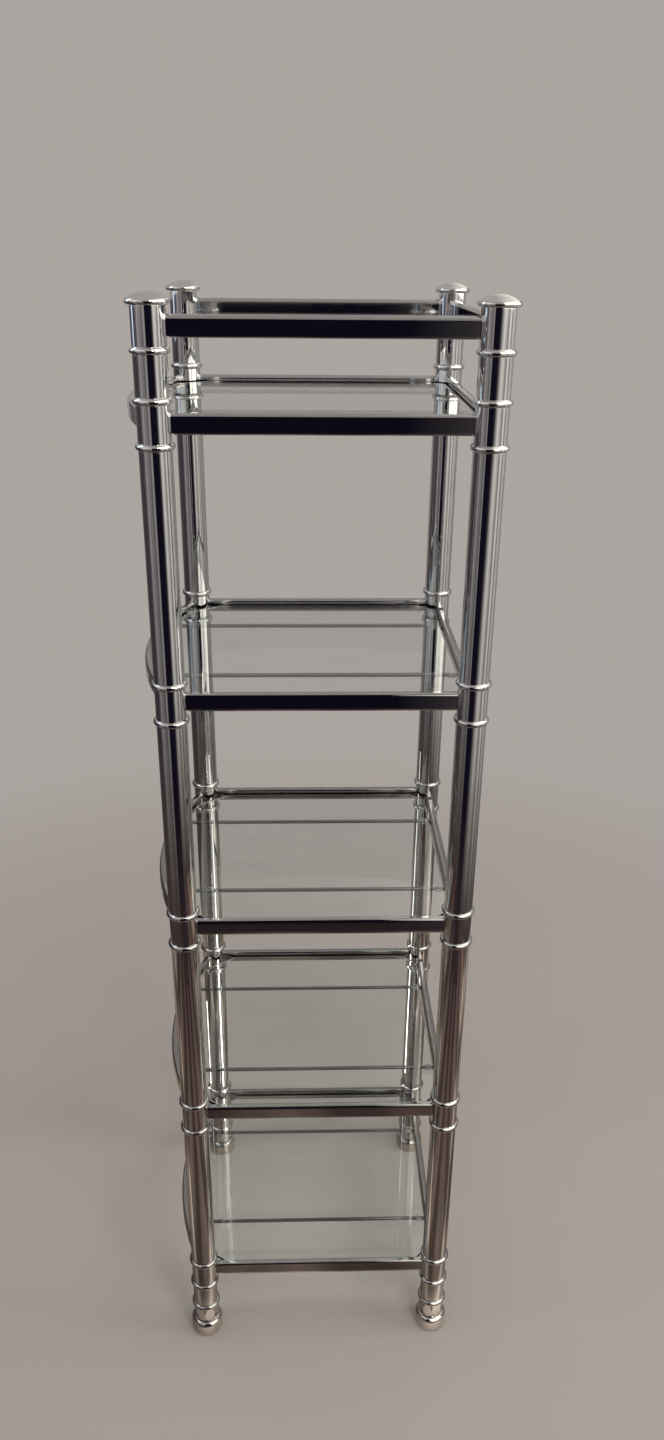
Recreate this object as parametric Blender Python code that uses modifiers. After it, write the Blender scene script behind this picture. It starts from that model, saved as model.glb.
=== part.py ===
"""Chrome and glass etagere with one bowed side, a gallery rail and levelling feet.

Metres, +Z up, standing on Z = 0. The bowed side faces -X and the straight side faces +X. The front and
back frames face -Y and +Y. The origin is under the middle of the whole outline.
"""
import math

import bmesh
import bpy
from mathutils import Vector

# Driving dimensions of the posts
POST_SPACING_X = 0.3106
POST_SPACING_Y = 0.3132
POST_RADIUS = 0.015875
POST_WALL = 0.0015
BEAD_REACH = 0.0028

# Heights up the posts: foot bead, plain end, sleeve between two beads, shelf pitch, plain top length
FOOT_BEAD_Z = 0.050
FOOT_LENGTH = 0.0402
SLEEVE_LENGTH = 0.0408
SHELF_PITCH = 0.2774
TOP_LENGTH = 0.0434
SHELF_COUNT = 5

# Flat rail bar and the bow of the left rails, measured on the bar's middle
RAIL_HEIGHT = 0.0196
RAIL_THICKNESS = 0.009
RAIL_CORNER = 0.0025
BOW_RISE = 0.0392

# Rods under the glass
ROD_RADIUS = 0.0024
ROD_OFFSET = 0.0816
ROD_DROP = 0.0045

# Glass shelf
GLASS_THICKNESS = 0.005
GLASS_CLEARANCE = 0.0015
GLASS_POST_CLEARANCE = 0.0215

# Caps on the posts
CAP_RADIUS = 0.0203
CAP_EDGE_HALF_HEIGHT = 0.003
CAP_DOME = 0.0054
CAP_SPIGOT = 0.015

# Levelling feet
FOOT_RADIUS = 0.0205
FOOT_HEIGHT = 0.0217
FOOT_ROUND = 0.0055
FOOT_BOTTOM_ROUND = 0.0012
OCTAGON_SIDES = 8
OCTAGON_RADIUS = 0.0167
OCTAGON_CHAMFER = 0.0006
STEM_RADIUS = 0.004
STEM_LENGTH = 0.022
PIN_RADIUS = 0.003
PIN_LENGTH = 0.008
INSERT_LENGTH = 0.025
INSERT_SETBACK = 0.0005

# Space left between pieces that touch
GAP = 0.0003

# Distance under which doubled points are joined
WELD = 0.000001

# Fineness of the round shapes
POST_SEGMENTS = 16
STEM_SEGMENTS = 12
ROD_SEGMENTS = 12
ROUND_STEPS = 3
RAIL_CORNER_STEPS = 1
BOW_STEPS = 12
BOW_CUTTER_SEGMENTS = 180
SMOOTH_ANGLE = math.radians(40)

# Share of its radius that a half round of three flats reaches
CREST = math.cos(math.radians(30))

# Sizes that follow from the driving dimensions
HALF_X = POST_SPACING_X / 2
HALF_Y = POST_SPACING_Y / 2
BORE_RADIUS = POST_RADIUS - POST_WALL
BOW_OUTER = BOW_RISE + RAIL_THICKNESS / 2
MIDDLE_X = (BOW_OUTER - FOOT_RADIUS) / 2
BOW_RADIUS = (HALF_Y ** 2 + BOW_RISE ** 2) / (2 * BOW_RISE)
BOW_CENTRE_X = MIDDLE_X - HALF_X - BOW_RISE + BOW_RADIUS
BOW_HALF_ANGLE = math.asin(HALF_Y / BOW_RADIUS)
BEAD_HALF_HEIGHT = BEAD_REACH / CREST
POST_BOTTOM = FOOT_BEAD_Z - BEAD_HALF_HEIGHT
LOWEST_SHELF_Z = FOOT_BEAD_Z + FOOT_LENGTH + SLEEVE_LENGTH / 2
SHELF_Z = [LOWEST_SHELF_Z + SHELF_PITCH * step for step in reversed(range(SHELF_COUNT))]
TOP_BEAD_Z = SHELF_Z[0] + SLEEVE_LENGTH / 2 + TOP_LENGTH
GALLERY_Z = TOP_BEAD_Z + SLEEVE_LENGTH / 2
CAP_Z = TOP_BEAD_Z + SLEEVE_LENGTH
POST_TOP = CAP_Z - CAP_EDGE_HALF_HEIGHT - GAP

# Post positions by name: f and b for front and back, l and r for left and right
POSTS = {
    "fl": Vector((MIDDLE_X - HALF_X, -HALF_Y, 0)),
    "fr": Vector((MIDDLE_X + HALF_X, -HALF_Y, 0)),
    "bl": Vector((MIDDLE_X - HALF_X, HALF_Y, 0)),
    "br": Vector((MIDDLE_X + HALF_X, HALF_Y, 0)),
}


def clear_scene():
    for item in list(bpy.data.objects):
        bpy.data.objects.remove(item, do_unlink=True)


def add_collection(name):
    collection = bpy.data.collections.new(name)
    bpy.context.scene.collection.children.link(collection)
    return collection


def add_material(name, colour, metallic, roughness, transmission=0.0):
    material = bpy.data.materials.new(name)
    material.use_nodes = True
    shader = material.node_tree.nodes["Principled BSDF"]
    shader.inputs["Base Color"].default_value = (*colour, 1.0)
    shader.inputs["Metallic"].default_value = metallic
    shader.inputs["Roughness"].default_value = roughness
    shader.inputs["Transmission Weight"].default_value = transmission
    material.diffuse_color = (*colour, 1.0)
    return material


def add_object(name, mesh, collection, material, location):
    item = bpy.data.objects.new(name, mesh)
    item.location = location
    if material:
        mesh.materials.append(material)
    collection.objects.link(item)
    return item


def finished_mesh(item):
    """An object's shape as a plain mesh, welded and shaded smooth up to SMOOTH_ANGLE."""
    graph = bpy.context.evaluated_depsgraph_get()
    mesh = bpy.data.meshes.new_from_object(item.evaluated_get(graph))
    form = bmesh.new()
    form.from_mesh(mesh)
    bmesh.ops.remove_doubles(form, verts=form.verts, dist=WELD)
    form.to_mesh(mesh)
    form.free()
    mesh.shade_smooth()
    mesh.set_sharp_from_angle(angle=SMOOTH_ANGLE)
    return mesh


def settle(item):
    """Turn an object's modifiers into its own mesh."""
    mesh = finished_mesh(item)
    item.modifiers.clear()
    item.data = mesh


def arc(centre, radius, first, last, steps=ROUND_STEPS):
    """Points of an arc in the plane of a profile, angles in degrees."""
    points = []
    for step in range(steps + 1):
        angle = math.radians(first + (last - first) * step / steps)
        points.append((centre[0] + radius * math.cos(angle), centre[1] + radius * math.sin(angle)))
    return points


def outline_mesh(name, points, closed):
    """A chain of edges in the XZ plane."""
    edges = [(index, index + 1) for index in range(len(points) - 1)]
    if closed:
        edges.append((len(points) - 1, 0))
    mesh = bpy.data.meshes.new(name)
    mesh.from_pydata([(x, 0, z) for x, z in points], edges, [])
    return mesh


def turn(item, segments, angle=2 * math.pi):
    screw = item.modifiers.new("Turn", "SCREW")
    screw.axis = "Z"
    screw.angle = angle
    screw.steps = segments
    screw.render_steps = segments
    screw.use_merge_vertices = True
    screw.merge_threshold = WELD
    screw.use_smooth_shade = True


def add_turned(name, points, closed, collection, material, location, segments=POST_SEGMENTS):
    """A turned piece from a profile that runs down its outer side."""
    item = add_object(name, outline_mesh(name, points, closed), collection, material, location)
    turn(item, segments)
    settle(item)
    return item


def combine(item, other, operation):
    boolean = item.modifiers.new("With " + other.name, "BOOLEAN")
    boolean.operation = operation
    boolean.solver = "EXACT"
    boolean.object = other


def add_cutter(name, radius, height, location, segments):
    """An upright cylinder, turned as the pieces are so that its sides line up with theirs."""
    points = [(0, height / 2), (radius, height / 2), (radius, -height / 2), (0, -height / 2)]
    item = add_turned(name, points, False, cutters, None, location, segments)
    hide(item)
    return item


def hide(item):
    item.hide_render = True
    item.display_type = "WIRE"


def bead_heights():
    """Middle heights of the twelve beads on a post, from the top down."""
    heights = [TOP_BEAD_Z]
    for shelf_z in SHELF_Z:
        heights += [shelf_z + SLEEVE_LENGTH / 2, shelf_z - SLEEVE_LENGTH / 2]
    return heights + [FOOT_BEAD_Z]


def add_post(corner):
    """Hollow post with its beads in one turned profile."""
    points = [(BORE_RADIUS, POST_TOP), (POST_RADIUS, POST_TOP)]
    for height in bead_heights():
        points += arc((POST_RADIUS, height), BEAD_HALF_HEIGHT, 90, -90)
    points.append((BORE_RADIUS, POST_BOTTOM))
    add_turned("post_" + corner, points, True, parts, chrome_post, POSTS[corner])


def add_cap(corner):
    """Low dome over a half-round edge, with a spigot that plugs the post."""
    edge = (CAP_RADIUS - CAP_EDGE_HALF_HEIGHT * CREST, 0)
    rise = CAP_EDGE_HALF_HEIGHT + CAP_DOME
    dome_radius = (edge[0] ** 2 + CAP_DOME ** 2) / (2 * CAP_DOME)
    lean = math.degrees(math.asin(edge[0] / dome_radius))
    points = arc((0, rise - dome_radius), dome_radius, 90, 90 - lean)
    points += arc(edge, CAP_EDGE_HALF_HEIGHT, 90, -90)[1:]
    spigot = BORE_RADIUS - GAP
    points += [(spigot, -CAP_EDGE_HALF_HEIGHT), (spigot, -CAP_SPIGOT), (0, -CAP_SPIGOT)]
    location = POSTS[corner] + Vector((0, 0, CAP_Z))
    add_turned("cap_" + corner, points, False, parts, chrome_cap, location)


def add_insert(corner):
    """The plug in the post's lower end that the stem screws through."""
    outer = BORE_RADIUS - GAP
    inner = STEM_RADIUS + GAP
    points = [(inner, INSERT_LENGTH), (outer, INSERT_LENGTH), (outer, 0), (inner, 0)]
    location = POSTS[corner] + Vector((0, 0, POST_BOTTOM + INSERT_SETBACK))
    add_turned("insert_" + corner, points, True, parts, zinc_insert, location, STEM_SEGMENTS)


def add_adjuster(corner):
    """Eight-sided grip, corner forward, with the stem above it and a swivel pin below."""
    height = POST_BOTTOM - GAP - FOOT_HEIGHT - GAP
    low = OCTAGON_RADIUS - OCTAGON_CHAMFER
    grip_points = [(0, height), (low, height), (OCTAGON_RADIUS, height - OCTAGON_CHAMFER)]
    grip_points += [(OCTAGON_RADIUS, OCTAGON_CHAMFER), (low, 0), (0, 0)]
    location = POSTS[corner] + Vector((0, 0, FOOT_HEIGHT + GAP))
    name = "adjuster_" + corner
    item = add_turned(name, grip_points, False, parts, chrome_adjuster, location, OCTAGON_SIDES)
    top = height + STEM_LENGTH
    shaft_points = [(0, top), (STEM_RADIUS, top), (STEM_RADIUS, height / 2), (PIN_RADIUS, height / 2)]
    shaft_points += [(PIN_RADIUS, -PIN_LENGTH), (0, -PIN_LENGTH)]
    shaft = add_turned("shaft_" + corner, shaft_points, False, cutters, None, location, STEM_SEGMENTS)
    hide(shaft)
    combine(item, shaft, "UNION")


def add_foot(corner):
    """Round foot with a domed shoulder and a blind hole for the adjuster's pin."""
    hole = PIN_RADIUS + GAP
    floor_of_hole = FOOT_HEIGHT - PIN_LENGTH - GAP
    points = [(0, floor_of_hole), (hole, floor_of_hole), (hole, FOOT_HEIGHT)]
    points += arc((FOOT_RADIUS - FOOT_ROUND, FOOT_HEIGHT - FOOT_ROUND), FOOT_ROUND, 90, 0)
    points += [(FOOT_RADIUS, FOOT_BOTTOM_ROUND), (FOOT_RADIUS - FOOT_BOTTOM_ROUND, 0), (0, 0)]
    add_turned("foot_" + corner, points, False, parts, chrome_foot, POSTS[corner])


def rail_section():
    """Rounded rectangle of the rail bar, running down its +X side."""
    x = RAIL_THICKNESS / 2 - RAIL_CORNER
    z = RAIL_HEIGHT / 2 - RAIL_CORNER
    points = []
    for corner_x, corner_z, first in ((x, z, 90), (x, -z, 0), (-x, -z, -90), (-x, z, -180)):
        points += arc((corner_x, corner_z), RAIL_CORNER, first, first - 90, RAIL_CORNER_STEPS)
    return points


def close_ends(item):
    """Fill both open ends of a swept section."""
    form = bmesh.new()
    form.from_mesh(item.data)
    open_edges = [edge for edge in form.edges if edge.is_boundary]
    bmesh.ops.holes_fill(form, edges=open_edges)
    bmesh.ops.recalc_face_normals(form, faces=form.faces[:])
    form.to_mesh(item.data)
    form.free()


def add_straight_rail(name, start, end, height):
    """Rail bar between two posts, its ends cut to fit round them."""
    begin = POSTS[start]
    along = POSTS[end] - begin
    item = add_object(name, outline_mesh(name, rail_section(), True), parts, chrome_rail, begin)
    item.location.z = height
    item.rotation_euler.z = math.atan2(along.y, along.x) - math.pi / 2
    form = bmesh.new()
    form.from_mesh(item.data)
    stretched = bmesh.ops.extrude_edge_only(form, edges=form.edges[:])
    moved = [part for part in stretched["geom"] if isinstance(part, bmesh.types.BMVert)]
    bmesh.ops.translate(form, verts=moved, vec=(0, along.length, 0))
    form.to_mesh(item.data)
    form.free()
    close_ends(item)
    combine(item, post_cutters[start], "DIFFERENCE")
    combine(item, post_cutters[end], "DIFFERENCE")
    settle(item)


def add_bow_rail(name, height):
    """Rail bar bent to an arc from the front left post to the back left post."""
    section = [(BOW_RADIUS + x, z) for x, z in rail_section()]
    centre = Vector((BOW_CENTRE_X, 0, height))
    item = add_object(name, outline_mesh(name, section, True), parts, chrome_rail, centre)
    item.rotation_euler.z = math.pi - BOW_HALF_ANGLE
    turn(item, BOW_STEPS, 2 * BOW_HALF_ANGLE)
    settle(item)
    close_ends(item)
    combine(item, post_cutters["fl"], "DIFFERENCE")
    combine(item, post_cutters["bl"], "DIFFERENCE")
    settle(item)


def add_rod(name, y, height):
    """Round rod from the bowed rail to the right rail."""
    right_end = MIDDLE_X + HALF_X - RAIL_THICKNESS / 2 - GAP
    left_end = BOW_CENTRE_X - BOW_RADIUS
    form = bmesh.new()
    bmesh.ops.create_cone(
        form, cap_ends=True, segments=ROD_SEGMENTS, radius1=ROD_RADIUS, radius2=ROD_RADIUS,
        depth=right_end - left_end,
    )
    mesh = bpy.data.meshes.new(name)
    form.to_mesh(mesh)
    form.free()
    location = ((left_end + right_end) / 2, y, height)
    item = add_object(name, mesh, parts, chrome_rod, location)
    item.rotation_euler.y = math.pi / 2
    combine(item, bow_inside, "INTERSECT")
    settle(item)


def clip_length(corner_angle, inset):
    """How far along each edge from the post's middle a corner is clipped to stay clear of the beads."""
    half_angle = corner_angle / 2
    return (GLASS_POST_CLEARANCE - inset * math.sin(half_angle)) / math.cos(half_angle)


def glass_outline():
    """Plan of a glass shelf: bowed left edge, three straight edges, four clipped corners."""
    inset = RAIL_THICKNESS / 2 + GLASS_CLEARANCE
    edge_y = HALF_Y - inset
    edge_x = MIDDLE_X + HALF_X - inset
    bow = BOW_RADIUS - inset
    right_post = POSTS["br"]
    left_post = POSTS["bl"]
    right_clip = clip_length(math.pi / 2, inset)
    left_clip = clip_length(math.pi / 2 + BOW_HALF_ANGLE, inset)
    half = [(edge_x, right_post.y - right_clip), (right_post.x - right_clip, edge_y)]
    half.append((left_post.x + left_clip, edge_y))
    bow_angle = math.asin((left_post.y - left_clip) / bow)
    left_edge = []
    for step in range(BOW_STEPS + 1):
        angle = math.pi - bow_angle + 2 * bow_angle * step / BOW_STEPS
        left_edge.append((BOW_CENTRE_X + bow * math.cos(angle), bow * math.sin(angle)))
    return half + left_edge + [(x, -y) for x, y in reversed(half)]


def add_glass(name, height):
    """Flat glass of the outline, its middle at the given height."""
    curve = bpy.data.curves.new(name, "CURVE")
    curve.dimensions = "2D"
    curve.fill_mode = "BOTH"
    curve.extrude = GLASS_THICKNESS / 2
    points = glass_outline()
    spline = curve.splines.new("POLY")
    spline.points.add(len(points) - 1)
    for point, place in zip(spline.points, points):
        point.co = (*place, 0, 1)
    spline.use_cyclic_u = True
    pattern = add_object(name + "_pattern", curve, cutters, None, (0, 0, height))
    mesh = finished_mesh(pattern)
    bpy.data.objects.remove(pattern, do_unlink=True)
    add_object(name, mesh, parts, clear_glass, (0, 0, height))


clear_scene()
parts = add_collection("Bow-sided etagere")
cutters = add_collection("Cutters")

chrome_post = add_material("Chrome post", (0.64, 0.64, 0.65), 1.0, 0.06)
chrome_cap = add_material("Chrome cap", (0.68, 0.67, 0.66), 1.0, 0.08)
chrome_rail = add_material("Chrome rail", (0.58, 0.58, 0.60), 1.0, 0.08)
chrome_rod = add_material("Chrome rod", (0.50, 0.50, 0.51), 1.0, 0.15)
chrome_adjuster = add_material("Chrome adjuster", (0.66, 0.64, 0.62), 1.0, 0.10)
chrome_foot = add_material("Chrome foot", (0.66, 0.64, 0.62), 1.0, 0.10)
zinc_insert = add_material("Zinc insert", (0.45, 0.45, 0.47), 1.0, 0.45)
clear_glass = add_material("Clear glass", (0.86, 0.92, 0.89), 0.0, 0.02, 1.0)

post_cutters = {}
for corner, place in POSTS.items():
    middle = place + Vector((0, 0, POST_TOP / 2))
    post_cutters[corner] = add_cutter("space_" + corner, POST_RADIUS + GAP, POST_TOP, middle, POST_SEGMENTS)
bow_middle = Vector((BOW_CENTRE_X, 0, POST_TOP / 2))
bow_reach = BOW_RADIUS - RAIL_THICKNESS / 2 - 2 * GAP
bow_inside = add_cutter("inside_of_bow", bow_reach, POST_TOP, bow_middle, BOW_CUTTER_SEGMENTS)

for corner in POSTS:
    add_post(corner)
    add_cap(corner)
    add_insert(corner)
    add_adjuster(corner)
    add_foot(corner)

STRAIGHT_RAILS = {"front": ("fl", "fr"), "back": ("bl", "br"), "right": ("fr", "br")}
for side, (start, end) in STRAIGHT_RAILS.items():
    add_straight_rail("gallery_rail_" + side, start, end, GALLERY_Z)

for number, shelf_z in enumerate(SHELF_Z, start=1):
    shelf = "shelf%d_" % number
    for side, (start, end) in STRAIGHT_RAILS.items():
        add_straight_rail(shelf + "rail_" + side, start, end, shelf_z)
    add_bow_rail(shelf + "rail_bow", shelf_z)
    add_rod(shelf + "rod_front", -ROD_OFFSET, shelf_z - ROD_DROP)
    add_rod(shelf + "rod_back", ROD_OFFSET, shelf_z - ROD_DROP)
    glass_z = shelf_z - ROD_DROP + ROD_RADIUS + GAP + GLASS_THICKNESS / 2
    add_glass(shelf + "glass", glass_z)
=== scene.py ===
import math

import bmesh
import bpy
from mathutils import Matrix, Vector


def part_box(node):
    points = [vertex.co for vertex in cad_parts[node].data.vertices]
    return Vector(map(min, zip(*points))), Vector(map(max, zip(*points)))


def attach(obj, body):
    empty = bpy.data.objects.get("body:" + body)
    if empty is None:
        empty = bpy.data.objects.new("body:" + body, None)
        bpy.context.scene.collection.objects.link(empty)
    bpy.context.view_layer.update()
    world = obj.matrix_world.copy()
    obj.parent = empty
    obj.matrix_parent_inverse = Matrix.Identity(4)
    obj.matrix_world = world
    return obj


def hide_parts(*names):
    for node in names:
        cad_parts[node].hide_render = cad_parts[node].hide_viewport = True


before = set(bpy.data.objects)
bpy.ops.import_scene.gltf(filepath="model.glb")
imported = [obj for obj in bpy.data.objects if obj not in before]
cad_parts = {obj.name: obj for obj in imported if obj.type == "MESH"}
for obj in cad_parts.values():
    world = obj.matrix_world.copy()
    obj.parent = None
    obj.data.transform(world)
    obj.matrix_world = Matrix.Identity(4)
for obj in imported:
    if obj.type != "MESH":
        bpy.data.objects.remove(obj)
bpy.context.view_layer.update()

# Sizes in metres, as in the part's source
POST_RADIUS = 0.015875
POST_WALL = 0.0015
BEAD_REACH = 0.0028
SLEEVE_LENGTH = 0.0408
FOOT_BEAD_Z = 0.050
RAIL_HEIGHT = 0.0196
RAIL_THICKNESS = 0.009
BOW_RISE = 0.0392
ROD_RADIUS = 0.0024
GLASS_CLEARANCE = 0.0015
GLASS_POST_CLEARANCE = 0.0215
CAP_EDGE = 0.003
CAP_SPIGOT = 0.015
OCTAGON_SIDES = 8
OCTAGON_RADIUS = 0.0167
STEM_RADIUS = 0.004
PIN_RADIUS = 0.003
PIN_LENGTH = 0.008
GAP = 0.0003

# Sizes in metres of the finer shapes here
BEAD_HALF_HEIGHT = 0.0032
BEAD_GROOVE = 0.00035
RAIL_ROUND = 0.0048
RAIL_EDGE = 0.0024
RAIL_SUPPORT = 0.0004
RAIL_SEAT = 0.0001
WELD = 0.0006
WELD_SUPPORT = 0.0008
ROD_WELD = 0.0008
GLASS_CORNER = 0.003
GLASS_EDGE = 0.0011
GLASS_FACE_INSET = GLASS_EDGE * 1.6
FOOT_ROUND = 0.0058
FOOT_BOTTOM_ROUND = 0.0026
OCTAGON_CORNER = 0.0007
OCTAGON_BEVEL = 0.0013
OCTAGON_BEVEL_DEPTH = 0.0002
CLIP_RADIUS = 0.0042
CLIP_LENGTH = 0.0068
CLIP_SETBACK = 0.0035
CLIP_EDGE = 0.0008
CLIP_SPACE = 0.0001

# Share of the dome's slope at which the cap's round edge starts
CAP_EDGE_LEAN = 0.6
# Angles in degrees between which a clip is closed, its opening being above
CLIP_FIRST = 28
CLIP_LAST = -208

# Fineness of the round shapes
TURN_SEGMENTS = 64
ROD_SEGMENTS = 24
BEAD_STEPS = 14
DOME_STEPS = 18
CAP_EDGE_STEPS = 16
FOOT_STEPS = 12
FOOT_BOTTOM_STEPS = 8
OCTAGON_CORNER_STEPS = 4
OCTAGON_FLAT_STEPS = 6
BEVEL_STEPS = 5
RAIL_CORNER_STEPS = 10
WELD_STEPS = 5
BOW_STEPS = 48
CLIP_STEPS = 20
GLASS_CORNER_STEPS = 5
GLASS_EDGE_STEPS = 5
GLASS_BOW_STEPS = 40
SHARP_ANGLE = math.radians(38)

# Scales of the marks on chrome, the height of its draw lines and the roughness of its pits
SMUDGE_SCALE = 38
LINE_SCALE = 420
PIT_SCALE = 1500
LINE_STRENGTH = 0.012
LINE_HEIGHT = 0.0004
PIT_ROUGHNESS = 0.3

CORNERS = ("fl", "fr", "bl", "br")
SHELVES = range(1, 6)
STRAIGHT_RAILS = {"front": ("fl", "fr"), "back": ("bl", "br"), "right": ("fr", "br")}


def middle(node):
    low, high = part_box(node)
    return (low + high) / 2


POSTS = {corner: Vector((middle("post_" + corner).x, middle("post_" + corner).y, 0)) for corner in CORNERS}
SHELF_Z = {number: middle("shelf%d_rail_front" % number).z for number in SHELVES}
GALLERY_Z = middle("gallery_rail_front").z
HALF_Y = POSTS["bl"].y
BOW_RADIUS = (HALF_Y ** 2 + BOW_RISE ** 2) / (2 * BOW_RISE)
BOW_CENTRE = Vector((POSTS["fl"].x - BOW_RISE + BOW_RADIUS, 0, 0))
BOW_HALF_ANGLE = math.asin(HALF_Y / BOW_RADIUS)


# Materials
def nodes_of(material):
    material.use_nodes = True
    tree = material.node_tree
    return tree, tree.nodes["Principled BSDF"]


def add_node(tree, kind, **values):
    node = tree.nodes.new(kind)
    for name, value in values.items():
        if name in node.inputs:
            node.inputs[name].default_value = value
        else:
            setattr(node, name, value)
    return node


def stretched_noise(tree, stretch, scale, detail, roughness=0.5):
    """Noise in the object's own space, stretched by a factor on each axis."""
    place = add_node(tree, "ShaderNodeTexCoord")
    mapping = add_node(tree, "ShaderNodeMapping")
    mapping.inputs["Scale"].default_value = stretch
    noise = add_node(tree, "ShaderNodeTexNoise", Scale=scale, Detail=detail, Roughness=roughness)
    tree.links.new(place.outputs["Object"], mapping.inputs["Vector"])
    tree.links.new(mapping.outputs["Vector"], noise.inputs["Vector"])
    return noise.outputs["Fac"]


def ramp(tree, source, stops):
    """Colour ramp on a value, stops given as (position, colour)."""
    node = tree.nodes.new("ShaderNodeValToRGB")
    elements = node.color_ramp.elements
    while len(elements) < len(stops):
        elements.new(0.5)
    for element, (position, colour) in zip(elements, stops):
        element.position = position
        element.color = (*colour, 1.0)
    tree.links.new(source, node.inputs["Fac"])
    return node.outputs["Color"]


def map_range(tree, source, low, high, new_low, new_high):
    node = add_node(tree, "ShaderNodeMapRange")
    node.inputs["From Min"].default_value = low
    node.inputs["From Max"].default_value = high
    node.inputs["To Min"].default_value = new_low
    node.inputs["To Max"].default_value = new_high
    tree.links.new(source, node.inputs["Value"])
    return node.outputs["Result"]


def add_math(tree, operation, *values):
    """Output of a maths node on values, each of which is an output or a number."""
    node = add_node(tree, "ShaderNodeMath", operation=operation)
    for socket, value in zip(node.inputs, values):
        if isinstance(value, (int, float)):
            socket.default_value = value
        else:
            tree.links.new(value, socket)
    return node.outputs[0]


def blend(tree, factor, first, second):
    """Mix of two colours, each of which is an output or a colour."""
    mix = add_node(tree, "ShaderNodeMix", data_type="RGBA")
    tree.links.new(factor, mix.inputs["Factor"])
    for name, value in (("A", first), ("B", second)):
        if isinstance(value, tuple):
            mix.inputs[name].default_value = (*value, 1.0)
        else:
            tree.links.new(value, mix.inputs[name])
    return mix.outputs["Result"]


def grey(value, warmth=0.0):
    return (value * (1 + warmth), value, value * (1 - warmth))


def chrome(name, tone, polish, along=(1, 1, 1), warmth=0.0):
    """Chrome plate: soft smudges, faint draw lines along the tube and scattered pits."""
    material = bpy.data.materials.new(name)
    tree, shader = nodes_of(material)
    shader.inputs["Metallic"].default_value = 1.0
    smudge = stretched_noise(tree, (1, 1, 1), SMUDGE_SCALE, 5, 0.62)
    lines = stretched_noise(tree, along, LINE_SCALE, 3, 0.55)
    pits = stretched_noise(tree, (1, 1, 1), PIT_SCALE, 1, 0.4)
    plate = ramp(tree, smudge, [(0.32, grey(tone * 0.93, warmth)), (0.68, grey(tone * 1.05, warmth))])
    pit_mask = map_range(tree, pits, 0.78, 0.82, 0.0, 1.0)
    colour = blend(tree, pit_mask, plate, grey(tone * 0.45, 0.12))
    tree.links.new(colour, shader.inputs["Base Color"])
    dull = map_range(tree, smudge, 0.3, 0.75, polish * 0.6, polish * 1.6)
    rough = add_math(tree, "MULTIPLY_ADD", pit_mask, PIT_ROUGHNESS, dull)
    tree.links.new(rough, shader.inputs["Roughness"])
    bump = add_node(tree, "ShaderNodeBump", Strength=LINE_STRENGTH, Distance=LINE_HEIGHT)
    tree.links.new(lines, bump.inputs["Height"])
    tree.links.new(bump.outputs["Normal"], shader.inputs["Normal"])
    return material


def glass(name):
    """Clear float glass: greenish through its depth, faint smears on its faces."""
    material = bpy.data.materials.new(name)
    tree, shader = nodes_of(material)
    shader.inputs["Roughness"].default_value = 0.0
    shader.inputs["Transmission Weight"].default_value = 1.0
    shader.inputs["IOR"].default_value = 1.52
    smear = stretched_noise(tree, (1, 3, 1), 14, 4, 0.6)
    tint = ramp(tree, smear, [(0.45, (0.975, 0.99, 0.985)), (0.8, (0.925, 0.94, 0.935))])
    tree.links.new(tint, shader.inputs["Base Color"])
    depth = add_node(tree, "ShaderNodeVolumeAbsorption")
    depth.inputs["Color"].default_value = (0.38, 0.56, 0.51, 1.0)
    depth.inputs["Density"].default_value = 22.0
    tree.links.new(depth.outputs["Volume"], tree.nodes["Material Output"].inputs["Volume"])
    return material


def soft_clear(name):
    """Clear soft plastic, a little cloudy."""
    material = bpy.data.materials.new(name)
    tree, shader = nodes_of(material)
    cloud = stretched_noise(tree, (1, 1, 1), 300, 3, 0.6)
    colour = ramp(tree, cloud, [(0.3, (0.80, 0.80, 0.78)), (0.7, (0.93, 0.93, 0.92))])
    tree.links.new(colour, shader.inputs["Base Color"])
    tree.links.new(map_range(tree, cloud, 0.3, 0.7, 0.04, 0.12), shader.inputs["Roughness"])
    shader.inputs["Transmission Weight"].default_value = 0.8
    shader.inputs["IOR"].default_value = 1.42
    return material


CHROME_POST = chrome("Chrome post", 0.66, 0.035, (1, 1, 0.03))
CHROME_CAP = chrome("Chrome cap", 0.68, 0.05, (1, 1, 1), 0.01)
CHROME_RAIL_X = chrome("Chrome rail along X", 0.50, 0.05, (0.03, 1, 1))
CHROME_RAIL_Y = chrome("Chrome rail along Y", 0.50, 0.05, (1, 0.03, 1))
CHROME_ROD = chrome("Chrome rod", 0.30, 0.10, (0.03, 1, 1))
CHROME_ADJUSTER = chrome("Chrome adjuster", 0.66, 0.06, (1, 1, 1), 0.015)
CHROME_FOOT = chrome("Chrome foot", 0.66, 0.06, (1, 1, 1), 0.015)
ZINC = chrome("Zinc insert", 0.42, 0.35)
CLEAR_GLASS = glass("Clear glass")
CLEAR_CLIP = soft_clear("Clear clip")


# Mesh building
def bridge(first, first_count, second, second_count):
    """Faces between two rings, either of which may be a single point."""
    faces = []
    for step in range(max(first_count, second_count)):
        first_next = first + (step + 1) % first_count
        second_next = second + (step + 1) % second_count
        if first_count == 1:
            faces.append((first, second + step, second_next))
        elif second_count == 1:
            faces.append((first + step, second, first_next))
        else:
            faces.append((first + step, second + step, second_next, first_next))
    return faces


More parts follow.
